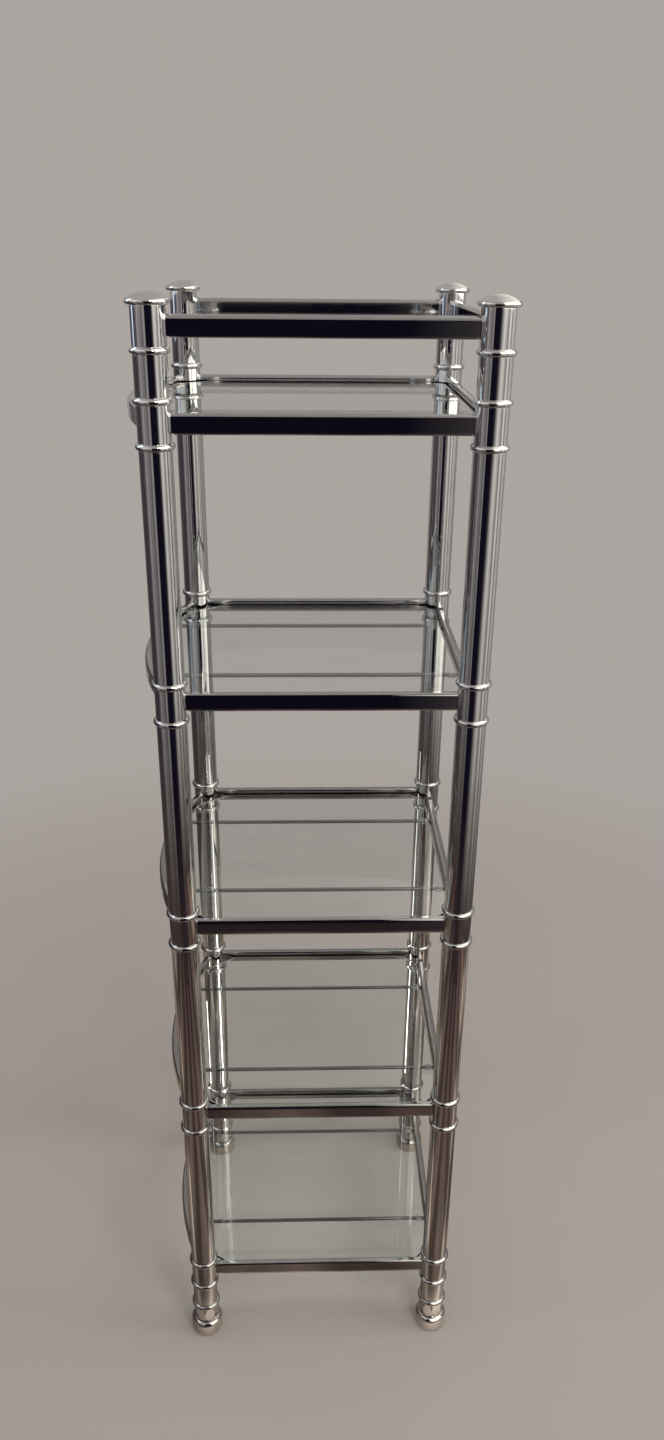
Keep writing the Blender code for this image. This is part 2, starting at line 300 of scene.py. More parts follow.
def add_loft(name, rings, body, replaced, material, loop=False):
    """A closed skin over a row of rings, riding on a body in place of a CAD node."""
    points = []
    starts = []
    for ring in rings:
        starts.append(len(points))
        points += ring
    pairs = [(index, index + 1) for index in range(len(rings) - 1)]
    if loop:
        pairs.append((len(rings) - 1, 0))
    faces = []
    for one, two in pairs:
        faces += bridge(starts[one], len(rings[one]), starts[two], len(rings[two]))
    if not loop:
        for index in (0, len(rings) - 1):
            if len(rings[index]) > 1:
                faces.append(tuple(range(starts[index], starts[index] + len(rings[index]))))
    mesh = bpy.data.meshes.new(name)
    mesh.from_pydata(points, [], faces)
    form = bmesh.new()
    form.from_mesh(mesh)
    bmesh.ops.recalc_face_normals(form, faces=form.faces[:])
    form.to_mesh(mesh)
    form.free()
    mesh.shade_smooth()
    mesh.set_sharp_from_angle(angle=SHARP_ANGLE)
    mesh.materials.append(material)
    piece = bpy.data.objects.new(name, mesh)
    bpy.context.scene.collection.objects.link(piece)
    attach(piece, body)
    if replaced:
        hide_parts(replaced)
    return piece


def arc(centre, radius_x, radius_z, first, last, steps):
    """Points of an oval arc between two angles in degrees."""
    points = []
    for step in range(steps + 1):
        angle = math.radians(first + (last - first) * step / steps)
        points.append((centre[0] + radius_x * math.cos(angle), centre[1] + radius_z * math.sin(angle)))
    return points


def turned_rings(profile, centre):
    """Rings round an upright axis for a profile of (radius, height)."""
    rings = []
    for radius, height in profile:
        if radius < 1e-7:
            rings.append([centre + Vector((0, 0, height))])
            continue
        ring = []
        for step in range(TURN_SEGMENTS):
            angle = 2 * math.pi * step / TURN_SEGMENTS
            ring.append(centre + Vector((radius * math.cos(angle), radius * math.sin(angle), height)))
        rings.append(ring)
    return rings


# Posts, with a half-round bead at each end of every sleeve and a fine parting line under it
def bead_heights():
    heights = [GALLERY_Z - SLEEVE_LENGTH / 2]
    for number in SHELVES:
        heights += [SHELF_Z[number] + SLEEVE_LENGTH / 2, SHELF_Z[number] - SLEEVE_LENGTH / 2]
    return heights + [FOOT_BEAD_Z]


def bead_profile(height):
    """Down over one bead, with small hollows where it meets the tube."""
    edge = BEAD_HALF_HEIGHT + BEAD_GROOVE
    points = [(POST_RADIUS, height + edge + BEAD_GROOVE)]
    points.append((POST_RADIUS, height + edge))
    points.append((POST_RADIUS - BEAD_GROOVE, height + BEAD_HALF_HEIGHT + BEAD_GROOVE / 2))
    points += arc((POST_RADIUS, height), BEAD_REACH, BEAD_HALF_HEIGHT, 90, -90, BEAD_STEPS)
    points.append((POST_RADIUS - BEAD_GROOVE, height - BEAD_HALF_HEIGHT - BEAD_GROOVE / 2))
    points.append((POST_RADIUS, height - edge))
    points.append((POST_RADIUS, height - edge - BEAD_GROOVE))
    return points


def add_post(corner):
    low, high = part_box("post_" + corner)
    bore = POST_RADIUS - POST_WALL
    profile = [(bore, high.z), (POST_RADIUS, high.z)]
    heights = bead_heights()
    for height in heights[:-1]:
        profile += bead_profile(height)
    last = heights[-1]
    profile += [(POST_RADIUS, last + BEAD_HALF_HEIGHT + 2 * BEAD_GROOVE)]
    profile += arc((POST_RADIUS, last), BEAD_REACH, last - low.z, 90, -90, BEAD_STEPS)
    profile.append((bore, low.z))
    rings = turned_rings(profile, POSTS[corner])
    add_loft("post-" + corner, rings, "frame", "post_" + corner, CHROME_POST, loop=True)


def add_cap(corner):
    low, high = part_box("cap_" + corner)
    radius = (high.x - low.x) / 2
    rim_z = low.z + CAP_SPIGOT
    edge = (radius - CAP_EDGE, rim_z)
    rise = high.z - rim_z - CAP_EDGE
    dome = (edge[0] ** 2 + rise ** 2) / (2 * rise)
    lean = math.degrees(math.asin(edge[0] / dome))
    profile = [(0, high.z)] + arc((0, high.z - dome), dome, dome, 90, 90 - lean, DOME_STEPS)[1:-1]
    profile += arc(edge, CAP_EDGE, CAP_EDGE, 90 - lean * CAP_EDGE_LEAN, -90, CAP_EDGE_STEPS)
    bore = POST_RADIUS - POST_WALL - GAP
    profile += [(bore, rim_z - CAP_EDGE), (bore, low.z), (0, low.z)]
    rings = turned_rings(profile, POSTS[corner])
    add_loft("cap-" + corner, rings, "frame", "cap_" + corner, CHROME_CAP)


def add_foot(corner):
    low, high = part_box("foot_" + corner)
    radius = (high.x - low.x) / 2
    hole = PIN_RADIUS + GAP
    hole_floor = high.z - PIN_LENGTH - GAP
    profile = [(0, hole_floor), (hole, hole_floor), (hole, high.z)]
    profile += arc((radius - FOOT_ROUND, high.z - FOOT_ROUND), FOOT_ROUND, FOOT_ROUND, 90, 0, FOOT_STEPS)
    corner_low = (radius - FOOT_BOTTOM_ROUND, low.z + FOOT_BOTTOM_ROUND)
    profile += arc(corner_low, FOOT_BOTTOM_ROUND, FOOT_BOTTOM_ROUND, 0, -90, FOOT_BOTTOM_STEPS)
    profile.append((0, low.z))
    rings = turned_rings(profile, POSTS[corner])
    body = "levelling_foot_" + corner
    add_loft("foot-" + corner, rings, body, "foot_" + corner, CHROME_FOOT)


def octagon_points():
    """Outline of the eight-sided grip, corner forward, with rounded corners, as (x, y)."""
    side_angle = 2 * math.pi / OCTAGON_SIDES
    apothem = OCTAGON_RADIUS * math.cos(side_angle / 2)
    corner_reach = (apothem - OCTAGON_CORNER) / math.cos(side_angle / 2)

    def corner_point(angle, lean):
        centre = Vector((math.cos(angle), math.sin(angle))) * corner_reach
        return centre + Vector((math.cos(lean), math.sin(lean))) * OCTAGON_CORNER

    points = []
    for side in range(OCTAGON_SIDES):
        angle = side * side_angle
        for step in range(OCTAGON_CORNER_STEPS + 1):
            lean = angle + (step / OCTAGON_CORNER_STEPS - 0.5) * side_angle
            points.append(corner_point(angle, lean))
        start = points[-1]
        end = corner_point(angle + side_angle, angle + side_angle / 2)
        for step in range(1, OCTAGON_FLAT_STEPS):
            points.append(start.lerp(end, step / OCTAGON_FLAT_STEPS))
    return points


def add_adjuster(corner):
    """Grip with its corners turned back to cones at both ends, a stem above and a pin below."""
    low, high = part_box("adjuster_" + corner)
    grip_low = low.z + PIN_LENGTH
    grip_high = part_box("post_" + corner)[0].z - GAP
    outline = octagon_points()
    centre = POSTS[corner]
    apothem = OCTAGON_RADIUS * math.cos(math.pi / OCTAGON_SIDES)
    least = apothem - OCTAGON_BEVEL_DEPTH

    def round_ring(radius, height):
        return [centre + Vector((*(point.normalized() * radius), height)) for point in outline]

    def grip_ring(limit, height):
        ring = []
        for point in outline:
            reach = min(point.length, limit)
            ring.append(centre + Vector((*(point.normalized() * reach), height)))
        return ring

    rings = [[centre + Vector((0, 0, low.z))]]
    rings += [round_ring(PIN_RADIUS, low.z), round_ring(PIN_RADIUS, grip_low)]
    ends = []
    for step in range(BEVEL_STEPS + 1):
        share = step / BEVEL_STEPS
        ends.append((least + (OCTAGON_RADIUS - least) * share, OCTAGON_BEVEL * share))
    for limit, rise in ends:
        rings.append(grip_ring(limit, grip_low + rise))
    for limit, rise in reversed(ends):
        rings.append(grip_ring(limit, grip_high - rise))
    rings += [round_ring(STEM_RADIUS, grip_high), round_ring(STEM_RADIUS, high.z)]
    rings.append([centre + Vector((0, 0, high.z))])
    body = "foot_adjuster_" + corner
    piece_name = "adjuster-" + corner
    add_loft(piece_name, rings, body, "adjuster_" + corner, CHROME_ADJUSTER)


# Rails: flat bar with oval corners and support points beside each corner, flared into a weld at both ends
def rail_section():
    """Points of the section as (sideways, up, outward normal sideways, outward normal up)."""
    flat_side = RAIL_THICKNESS / 2 - RAIL_EDGE
    flat_up = RAIL_HEIGHT / 2 - RAIL_ROUND
    steps = RAIL_CORNER_STEPS
    points = []
    for side_sign, up_sign in ((-1, 1), (1, 1), (1, -1), (-1, -1)):
        corner = []
        for step in range(-1, steps + 2):
            angle = math.pi / 2 * min(max(step, 0), steps) / steps
            side = side_sign * math.cos(angle)
            up = up_sign * math.sin(angle)
            place = Vector((side_sign * flat_side + RAIL_EDGE * side, up_sign * flat_up + RAIL_ROUND * up))
            if step < 0:
                place.y -= up_sign * RAIL_SUPPORT
            if step > steps:
                place.x -= side_sign * RAIL_SUPPORT
            normal = Vector((side / RAIL_EDGE, up / RAIL_ROUND)).normalized()
            corner.append((*place, *normal))
        points += corner if side_sign * up_sign < 0 else corner[::-1]
    return points


def weld_steps(size):
    """Distance from the wall and outward swell of a hollow weld, from the wall outward."""
    rows = []
    for step in range(WELD_STEPS + 1):
        angle = math.pi / 2 * step / WELD_STEPS
        rows.append((size * (1 - math.cos(angle)), size * (1 - math.sin(angle))))
    return rows + [(size + WELD_SUPPORT, 0)]


def add_straight_rail(name, node, start, end, height, material):
    begin = POSTS[start]
    along = POSTS[end] - begin
    length = along.length
    forward = along / length
    sideways = Vector((forward.y, -forward.x, 0))
    section = rail_section()
    rings = []
    for distance, swell in weld_steps(WELD):
        ring = []
        for side, up, normal_side, normal_up in section:
            across = side + normal_side * swell
            reach = math.sqrt((POST_RADIUS - RAIL_SEAT + distance) ** 2 - across ** 2)
            rise = Vector((0, 0, height + up + normal_up * swell))
            ring.append((reach, begin + sideways * across + rise))
        rings.append(ring)
    front = [[place + forward * reach for reach, place in ring] for ring in rings]
    back = [[place + forward * (length - reach) for reach, place in ring] for ring in reversed(rings)]
    add_loft(name, front + back, "frame", node, material)


def add_bow_rail(name, node, height):
    section = rail_section()
    ends = []
    for distance, swell in weld_steps(WELD):
        ring = []
        for side, up, normal_side, normal_up in section:
            radius = BOW_RADIUS + side + normal_side * swell
            gap = POST_RADIUS - RAIL_SEAT + distance
            cosine = (radius ** 2 + BOW_RADIUS ** 2 - gap ** 2) / (2 * radius * BOW_RADIUS)
            ring.append((radius, BOW_HALF_ANGLE - math.acos(cosine), height + up + normal_up * swell))
        ends.append(ring)

    def placed(ring, share):
        points = []
        for radius, angle, up in ring:
            turn = math.pi + angle * share
            points.append(BOW_CENTRE + Vector((radius * math.cos(turn), radius * math.sin(turn), up)))
        return points

    rings = [placed(ring, 1) for ring in ends]
    rings += [placed(ends[-1], 1 - 2 * step / BOW_STEPS) for step in range(1, BOW_STEPS)]
    rings += [placed(ring, -1) for ring in reversed(ends)]
    add_loft(name, rings, "frame", node, CHROME_RAIL_Y)


def add_rod(name, node):
    """Round rod from the inside of the bowed rail to the inside of the right rail, welded at both ends."""
    place = middle(node)
    right_wall = POSTS["fr"].x - RAIL_THICKNESS / 2
    bow_wall = BOW_RADIUS - RAIL_THICKNESS / 2
    left = []
    right = []
    for distance, swell in weld_steps(ROD_WELD):
        left_ring = []
        right_ring = []
        for step in range(ROD_SEGMENTS):
            angle = 2 * math.pi * step / ROD_SEGMENTS
            y = place.y + (ROD_RADIUS + swell) * math.cos(angle)
            z = place.z + (ROD_RADIUS + swell) * math.sin(angle)
            left_x = BOW_CENTRE.x - math.sqrt(bow_wall ** 2 - y ** 2)
            left_ring.append(Vector((left_x + distance, y, z)))
            right_ring.append(Vector((right_wall - distance, y, z)))
        left.append(left_ring)
        right.append(right_ring)
    add_loft(name, left + right[::-1], "frame", node, CHROME_ROD)


def add_clip(name, node, x):
    """Clear clip round the lower side of a rod, which keeps the glass from sliding."""
    place = middle(node)
    inner = ROD_RADIUS + CLIP_SPACE
    outline = arc((0, 0), CLIP_RADIUS, CLIP_RADIUS, CLIP_FIRST, CLIP_LAST, CLIP_STEPS)
    outline += arc((0, 0), inner, inner, CLIP_LAST, CLIP_FIRST, CLIP_STEPS)
    end = [(0, 0.82), (CLIP_EDGE * 0.3, 0.93), (CLIP_EDGE, 1)]
    rows = end + [(CLIP_LENGTH - shift, shrink) for shift, shrink in reversed(end)]
    rings = []
    for shift, shrink in rows:
        ring = []
        for index, (y, z) in enumerate(outline):
            reach = shrink if index <= CLIP_STEPS else 1
            ring.append(Vector((x + shift, place.y + y * reach, place.z + z * reach)))
        rings.append(ring)
    add_loft(name, rings, "frame", None, CLEAR_CLIP)


# Glass shelves
def rounded_outline(points, radius, steps):
    """A convex outline whose marked corners are rounded. Points are (x, y, round or not)."""
    result = []
    count = len(points)
    for index, (x, y, rounded) in enumerate(points):
        here = Vector((x, y))
        if not rounded:
            result.append(here)
            continue
        before = Vector(points[index - 1][:2]) - here
        after = Vector(points[(index + 1) % count][:2]) - here
        half = before.angle(after) / 2
        cut = radius / math.tan(half)
        start = here + before.normalized() * cut
        end = here + after.normalized() * cut
        inward = (before.normalized() + after.normalized()).normalized()
        centre = here + inward * (radius / math.sin(half))
        for step in range(steps + 1):
            spoke = (start - centre).lerp(end - centre, step / steps)
            result.append(centre + spoke.normalized() * radius)
    return result


def clip_length(corner_angle, inset):
    """How far along each edge from the post's middle a corner is clipped."""
    half_angle = corner_angle / 2
    return (GLASS_POST_CLEARANCE - inset * math.sin(half_angle)) / math.cos(half_angle)


def glass_outline():
    """Plan of a shelf: bowed left edge, three straight edges, four clipped corners."""
    inset = RAIL_THICKNESS / 2 + GLASS_CLEARANCE
    right = POSTS["br"]
    left = POSTS["bl"]
    edge_y = HALF_Y - inset
    bow = BOW_RADIUS - inset
    right_clip = clip_length(math.pi / 2, inset)
    left_clip = clip_length(math.pi / 2 + BOW_HALF_ANGLE, inset)
    half = [(right.x - inset, right.y - right_clip, True), (right.x - right_clip, edge_y, True)]
    half.append((left.x + left_clip, edge_y, True))
    bow_angle = math.asin((left.y - left_clip) / bow)
    edge = []
    for step in range(GLASS_BOW_STEPS + 1):
        angle = math.pi - bow_angle + 2 * bow_angle * step / GLASS_BOW_STEPS
        rounded = step in (0, GLASS_BOW_STEPS)
        edge.append((BOW_CENTRE.x + bow * math.cos(angle), bow * math.sin(angle), rounded))
    return half + edge + [(x, -y, rounded) for x, y, rounded in reversed(half)]


def add_glass(number):
    """Flat glass with a softly rounded edge all round."""
    node = "shelf%d_glass" % number
    low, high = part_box(node)
    outline = rounded_outline(glass_outline(), GLASS_CORNER, GLASS_CORNER_STEPS)
    normals = []
    for index in range(len(outline)):
        chord = outline[(index + 1) % len(outline)] - outline[index - 1]
        normals.append(Vector((chord.y, -chord.x)).normalized())
    centre = sum(outline, Vector((0, 0))) / len(outline)
    if normals[0].dot(outline[0] - centre) < 0:
        normals = [-normal for normal in normals]
    rounding = []
    for step in range(GLASS_EDGE_STEPS + 1):
        angle = math.pi / 2 * step / GLASS_EDGE_STEPS
        rounding.append((GLASS_EDGE * (1 - math.sin(angle)), GLASS_EDGE * (1 - math.cos(angle))))
    rows = [(GLASS_FACE_INSET, low.z)]
    rows += [(inset, low.z + rise) for inset, rise in rounding]
    rows += [(inset, high.z - rise) for inset, rise in reversed(rounding)]
    rows.append((GLASS_FACE_INSET, high.z))
    rings = []
    for inset, height in rows:
        ring = []
        for point, normal in zip(outline, normals):
            ring.append(Vector((*(point - normal * inset), height)))
        rings.append(ring)
    body = "glass_shelf_%d" % number
    pane = add_loft("glass-%d" % number, rings, body, node, CLEAR_GLASS)
    pane.visible_shadow = False


for corner in CORNERS:
    add_post(corner)
    add_cap(corner)
    add_adjuster(corner)
    add_foot(corner)
    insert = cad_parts["insert_" + corner]
    insert.data.materials.clear()
    insert.data.materials.append(ZINC)

RAIL_CHROME = {"front": CHROME_RAIL_X, "back": CHROME_RAIL_X, "right": CHROME_RAIL_Y}
for side, (start, end) in STRAIGHT_RAILS.items():
    node = "gallery_rail_" + side
    add_straight_rail("gallery-rail-" + side, node, start, end, GALLERY_Z, RAIL_CHROME[side])
for number in SHELVES:
    for side, (start, end) in STRAIGHT_RAILS.items():
        node = "shelf%d_rail_%s" % (number, side)
        name = "shelf-%d-rail-%s" % (number, side)
        add_straight_rail(name, node, start, end, SHELF_Z[number], RAIL_CHROME[side])
    add_bow_rail("shelf-%d-rail-bow" % number, "shelf%d_rail_bow" % number, SHELF_Z[number])
    for side in ("front", "back"):
        node = "shelf%d_rod_%s" % (number, side)
        name = "shelf-%d-rod-%s" % (number, side)
        add_rod(name, node)
        low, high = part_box(node)
        add_clip(name + "-clip-left", node, low.x + CLIP_SETBACK)
        add_clip(name + "-clip-right", node, high.x - CLIP_SETBACK - CLIP_LENGTH)
    add_glass(number)


# Stage: floor, reflection cards and lamps
BACKGROUND = (0.41, 0.375, 0.352)
FLOOR = (0.40, 0.368, 0.345)
FLOOR_REACH = 12
FLOOR_BROWN = (0.10, 0.068, 0.060)
FAR_BROWN = (0.045, 0.030, 0.030)
NIGHT = (0.007, 0.006, 0.014)
SCREEN_CENTRE = Vector((0.01, -0.157, 0))
SCREEN_RADIUS = 1.05
SCREEN_TOP = 1.28
HIGH_TOP = 2.48
SIDE_TOP = 2.1
COOL_RADIUS = SCREEN_RADIUS - 0.1
COOL_LOW = 1.21
LOW_HEIGHTS = (0.20, 0.46, 0.75, 1.04)
LOW_NEAR = 0.28
LOW_FAR = 1.0
STREAK_DISTANCE = 0.045
STREAK_WIDTH = 0.0075
CEILING_Z = 2.5
FLOOR_CARD_Z = 0.001

# Degrees spanned by one face of an upright and of a level round card
UPRIGHT_STRIDE = 3
LEVEL_STRIDE = 5


def add_panel(name, corners, faces, material):
    mesh = bpy.data.meshes.new(name)
    mesh.from_pydata(corners, [], faces)
    mesh.materials.append(material)
    panel = bpy.data.objects.new(name, mesh)
    bpy.context.scene.collection.objects.link(panel)
    return panel


def mix_shaders(tree, share, first, second):
    """Surface that goes from one shader to another by a share."""
    mix = add_node(tree, "ShaderNodeMixShader")
    for socket, source in zip(mix.inputs, (share, first, second)):
        tree.links.new(source, socket)
    tree.links.new(mix.outputs[0], tree.nodes["Material Output"].inputs["Surface"])


def floor_material():
    """Pale matt floor that fades into the background's colour with distance."""
    material = bpy.data.materials.new("Floor")
    tree, shader = nodes_of(material)
    shader.inputs["Base Color"].default_value = (*FLOOR, 1.0)
    shader.inputs["Roughness"].default_value = 0.9
    shader.inputs["Specular IOR Level"].default_value = 0.0
    glow = add_node(tree, "ShaderNodeEmission")
    glow.inputs["Color"].default_value = (*BACKGROUND, 1.0)
    place = add_node(tree, "ShaderNodeTexCoord")
    distance = add_node(tree, "ShaderNodeVectorMath", operation="LENGTH")
    tree.links.new(place.outputs["Object"], distance.inputs[0])
    fade = map_range(tree, distance.outputs["Value"], 0.5, 1.7, 0.0, 1.0)
    mix_shaders(tree, fade, shader.outputs[0], glow.outputs[0])
    return material


def mirror_tree(name):
    """A material with no shader yet: its tree, a mask of mirrored rays and the card's own coordinates."""
    material = bpy.data.materials.new(name)
    tree, shader = nodes_of(material)
    tree.nodes.remove(shader)
    path = add_node(tree, "ShaderNodeLightPath", name="Path")
    mirrored = add_math(tree, "GREATER_THAN", path.outputs["Glossy Depth"], 0.5)
    place = add_node(tree, "ShaderNodeTexCoord")
    split = add_node(tree, "ShaderNodeSeparateXYZ")
    tree.links.new(place.outputs["Object"], split.inputs[0])
    return material, tree, mirrored, split


def card_tree(name, in_glass=True, from_above=True):
    """A material that glows in mirrors alone, with its tree, the glow and the card's own coordinates."""
    material, tree, shown, split = mirror_tree(name)
    if not in_glass:
        path = tree.nodes["Path"]
        reflected = path.outputs["Is Reflection Ray"]
        sheen = add_math(tree, "MULTIPLY", path.outputs["Is Singular Ray"], reflected)
        shown = add_math(tree, "SUBTRACT", shown, sheen)
    if not from_above:
        face = add_node(tree, "ShaderNodeNewGeometry")
        shown = add_math(tree, "SUBTRACT", shown, face.outputs["Backfacing"])
    glow = add_node(tree, "ShaderNodeEmission")
    clear = add_node(tree, "ShaderNodeBsdfTransparent")
    mix_shaders(tree, shown, clear.outputs[0], glow.outputs[0])
    return material, tree, glow, split


def graded(tree, source, stops):
    """Colour that runs through stops of (coordinate, colour)."""
    first, last = stops[0][0], stops[-1][0]
    share = map_range(tree, source, first, last, 0.0, 1.0)
    return ramp(tree, share, [((place - first) / (last - first), colour) for place, colour in stops])


def card_material(name, axis, stops, in_glass=True, from_above=True):
    """A card graded along one axis."""
    material, tree, glow, split = card_tree(name, in_glass, from_above)
    tree.links.new(graded(tree, split.outputs[axis], stops), glow.inputs["Color"])
    return material


def dark_card_material(stops):
    """Painted shade seen in mirrors alone: dark by X, turning to the far floor's brown towards its foot."""
    material, tree, glow, split = card_tree("Dark card", in_glass=False)
    rise = map_range(tree, split.outputs["Z"], 0.05, 0.45, 0.0, 1.0)
    colour = blend(tree, rise, FAR_BROWN, graded(tree, split.outputs["X"], stops))
    tree.links.new(colour, glow.inputs["Color"])
    return material


def floor_card_material():
    """Brown floor seen in mirrors alone, with painted light and shade: a painted pool of light just in front
    of the front feet, painted shade at the feet and further out, painted light to the right and painted
    shadows to the left of each post, with a grain that runs front to back.
    """
    material, tree, glow, split = card_tree("Floor card")
    # Painted light and shade by distance: a bright painted pool just in front of the front feet, painted
    # shade at the feet and painted shade growing further out in front
    stops = [(-1.2, FAR_BROWN), (-0.95, (0.060, 0.038, 0.037)), (-0.70, (0.085, 0.056, 0.050)),
             (-0.45, (0.115, 0.079, 0.066)), (-0.30, (0.128, 0.093, 0.076)), (-0.235, (0.112, 0.085, 0.067)),
             (-0.212, (0.26, 0.205, 0.165)), (-0.198, (0.56, 0.460, 0.370)), (-0.186, (0.46, 0.38, 0.315)),
             (-0.176, (0.28, 0.225, 0.19)), (-0.12, (0.15, 0.115, 0.094)), (0.08, (0.115, 0.083, 0.070)),
             (0.11, (0.26, 0.21, 0.165)), (0.16, (0.20, 0.155, 0.12))]
    tree.links.new(graded(tree, split.outputs["Y"], stops), glow.inputs["Color"])
    # Painted light: the floor lighter to the right
    side = map_range(tree, split.outputs["X"], 0.42, 0.80, 1.0, 1.6)
    # Painted shadows: darker to the left of each post and lighter to its right, once per post spacing
    turn = 2 * math.pi / (POSTS["fr"].x - POSTS["fl"].x)
    phase = add_math(tree, "MULTIPLY_ADD", split.outputs["X"], turn, -turn * POSTS["fl"].x)
    shadow = map_range(tree, add_math(tree, "SINE", phase), -0.7, 0.7, 0.6, 1.5)
    grain = map_range(tree, stretched_noise(tree, (1, 0.1, 1), 9, 2, 0.5), 0.35, 0.65, 0.75, 1.25)
    strength = add_math(tree, "MULTIPLY", add_math(tree, "MULTIPLY", grain, side), shadow)
    tree.links.new(strength, glow.inputs["Strength"])
    return material


def round_angle(tree, split):
    """Angle round the object, 0 being straight in front."""
    back = add_math(tree, "MULTIPLY_ADD", split.outputs["Y"], -1.0, SCREEN_CENTRE.y)
    across = add_math(tree, "SUBTRACT", split.outputs["X"], SCREEN_CENTRE.x)
    return add_math(tree, "ARCTAN2", across, back)


def angle_bands(tree, angle, stops):
    """Colour that runs through stops of (degrees, colour)."""
    return graded(tree, angle, [(math.radians(place), colour) for place, colour in stops])


def strip_material(name, stops):
    """Plain bands for the bright screens above."""
    material, tree, glow, split = card_tree(name)
    tree.links.new(angle_bands(tree, round_angle(tree, split), stops), glow.inputs["Color"])
    return material


def screen_material(name, stops):
    """Bands with fine upright stripes, darker towards the floor."""
    material, tree, glow, split = card_tree(name)
    angle = round_angle(tree, split)
    rise = map_range(tree, split.outputs["Z"], 0.0, 0.5, 0.0, 1.0)
    colour = blend(tree, rise, FLOOR_BROWN, angle_bands(tree, angle, stops))
    tree.links.new(colour, glow.inputs["Color"])
    stripes = add_node(tree, "ShaderNodeTexNoise", noise_dimensions="1D", Scale=7, Detail=3, Roughness=0.75)
    tree.links.new(angle, stripes.inputs["W"])
    light = map_range(tree, stripes.outputs["Fac"], 0.40, 0.60, 0.75, 1.25)
    dim = map_range(tree, split.outputs["Z"], 0.0, 1.3, 0.6, 1.4)
    tree.links.new(add_math(tree, "MULTIPLY", light, dim), glow.inputs["Strength"])
    return material


def add_card(name, corners, faces, material):
    """A card seen only in reflections."""
    card = add_panel(name, corners, faces, material)
    card.visible_camera = False
    card.visible_diffuse = False
    card.visible_volume_scatter = False
    card.visible_shadow = False
    return card


def add_upright_card(name, start, end, low, high, material):
    corners = [(*start, low), (*end, low), (*end, high), (*start, high)]
    return add_card(name, corners, [(0, 1, 2, 3)], material)


def level_corners(low, high, height):
    return [(*low, height), (high[0], low[1], height), (*high, height), (low[0], high[1], height)]


def add_level_card(name, low, high, height, material):
    add_card(name, level_corners(low, high, height), [(0, 1, 2, 3)], material)


def add_round_card(name, first, last, stride, edges, material):
    """A card round the object between two angles, from one edge of (radius, height) to the other."""
    steps = round(last - first) // stride
    corners = []
    for step in range(steps + 1):
        angle = math.radians(first + (last - first) * step / steps)
        for radius, height in edges:
            spot = SCREEN_CENTRE + Vector((math.sin(angle), -math.cos(angle), 0)) * radius
            corners.append((spot.x, spot.y, height))
    faces = [(2 * step, 2 * step + 2, 2 * step + 3, 2 * step + 1) for step in range(steps)]
    add_card(name, corners, faces, material)


def add_screen(name, first, last, radius, low, high, material):
    """An upright round screen between two angles, 0 being straight in front."""
    add_round_card(name, first, last, UPRIGHT_STRIDE, ((radius, low), (radius, high)), material)


def add_band_screen(name, stops, low, high, material):
    """An upright round screen from the first stop's angle to the last one's."""
    add_screen(name, stops[0][0], stops[-1][0], SCREEN_RADIUS, low, high, material)


def streak_material(name, stops):
    """A light, graded by height, that shows in mirrors alone and hides nothing behind it."""
    material, tree, mirrored, split = mirror_tree(name)
    glow = add_node(tree, "ShaderNodeEmission")
    tree.links.new(graded(tree, split.outputs["Z"], stops), glow.inputs["Color"])
    tree.links.new(mirrored, glow.inputs["Strength"])
    clear = add_node(tree, "ShaderNodeBsdfTransparent")
    both = add_node(tree, "ShaderNodeAddShader")
    tree.links.new(glow.outputs[0], both.inputs[0])
    tree.links.new(clear.outputs[0], both.inputs[1])
    tree.links.new(both.outputs[0], tree.nodes["Material Output"].inputs["Surface"])
    return material


def add_streak(name, corner, bearing, low, high, material):
    """A slim upright light beside a post, for that post alone, at an angle from straight in front."""
    angle = math.radians(bearing)
    spot = POSTS[corner] + Vector((math.sin(angle), -math.cos(angle), 0)) * STREAK_DISTANCE
    half = Vector((math.cos(angle), math.sin(angle), 0)) * STREAK_WIDTH / 2
    start = (spot - half).xy
    end = (spot + half).xy
    card = add_upright_card(name, start, end, low, high, material)
    lit = bpy.data.collections.new(name + "-lit")
    lit.objects.link(bpy.data.objects["post-" + corner])
    card.light_linking.receiver_collection = lit


def add_lamp(name, place, target, width, height, power, colour):
    data = bpy.data.lights.new(name, "AREA")
    data.shape = "RECTANGLE"
    data.size = width
    data.size_y = height
    data.energy = power
    data.color = colour
    lamp = bpy.data.objects.new(name, data)
    lamp.location = place
    lamp.rotation_euler = (Vector(target) - Vector(place)).to_track_quat("-Z", "Y").to_euler()
    lamp.visible_glossy = False
    bpy.context.scene.collection.objects.link(lamp)


floor_corners = level_corners((-FLOOR_REACH, -FLOOR_REACH), (FLOOR_REACH, FLOOR_REACH), 0)
add_panel("floor", floor_corners, [(0, 1, 2, 3)], floor_material())

LEFT_BANDS = [
    (-150, (0.12, 0.11, 0.11)), (-122, (0.065, 0.055, 0.058)), (-97, (0.036, 0.030, 0.036)),
    (-84, (0.085, 0.073, 0.076)), (-76, (0.13, 0.115, 0.118)), (-70, (0.34, 0.32, 0.32)),
    (-64, (0.30, 0.285, 0.285)), (-59, (0.16, 0.145, 0.145)), (-50, (0.22, 0.205, 0.20)),
    (-44, (0.12, 0.105, 0.105)), (-37, (0.15, 0.135, 0.135)), (-31, (0.25, 0.235, 0.235)),
    (-15, (0.20, 0.188, 0.19)),
]
RIGHT_BANDS = [
    (5, (0.26, 0.24, 0.235)), (18, (0.42, 0.395, 0.37)), (26, (0.30, 0.28, 0.265)),
    (36, (0.46, 0.43, 0.40)), (42, (0.74, 0.70, 0.65)), (48, (0.60, 0.565, 0.525)),
    (54, (0.42, 0.395, 0.365)), (61, (0.24, 0.225, 0.21)), (67, (0.28, 0.26, 0.24)),
    (71, (0.62, 0.58, 0.54)), (80, (0.66, 0.62, 0.575)), (85, (0.28, 0.26, 0.24)),
    (90, (0.24, 0.225, 0.21)), (96, (0.50, 0.47, 0.44)), (112, (0.46, 0.435, 0.41)),
    (122, (0.28, 0.26, 0.245)), (135, (0.26, 0.245, 0.23)), (150, (0.32, 0.30, 0.28)),
]
